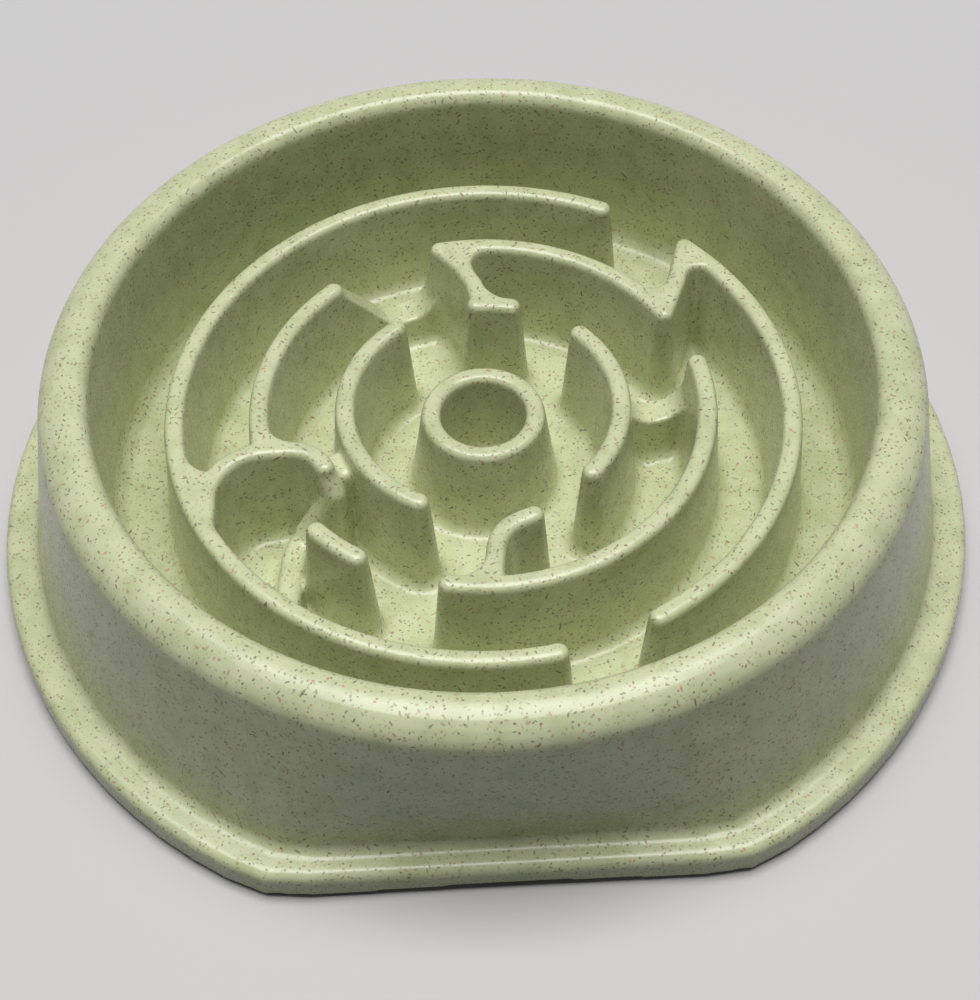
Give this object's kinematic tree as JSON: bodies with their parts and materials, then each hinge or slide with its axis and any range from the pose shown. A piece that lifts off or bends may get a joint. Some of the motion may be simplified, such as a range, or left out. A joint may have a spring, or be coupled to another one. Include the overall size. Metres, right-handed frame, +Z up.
{
  "type": "slow feeder bowl",
  "caption": "Round slow feeder bowl with a raised maze of moulded walls, a hollow skirt and a base flange on rubber feet.",
  "frame": {"origin": "on the table under the middle of the bowl", "axes": "+Z up, -Y towards the straight front, +X to the right"},
  "size_m": [0.21, 0.188, 0.0508],
  "materials": {
    "moulded_plastic": "pale sage green, satin, full of fine dark and reddish fibre flecks",
    "rubber": "matte dark grey"
  },
  "bodies": {
    "root": {"basin": "moulded_plastic", "skirt": "moulded_plastic", "outer_ring_wall": "moulded_plastic", "middle_ring_wall": "moulded_plastic", "inner_ring_wall": "moulded_plastic", "corner_spur": "moulded_plastic", "hook_spur": "moulded_plastic", "curl_spur": "moulded_plastic", "arch_wall": "moulded_plastic", "low_saddles": "moulded_plastic", "centre_post": "moulded_plastic", "foot_1": "rubber", "foot_2": "rubber", "foot_3": "rubber", "foot_4": "rubber"}
  },
  "joints": []
}
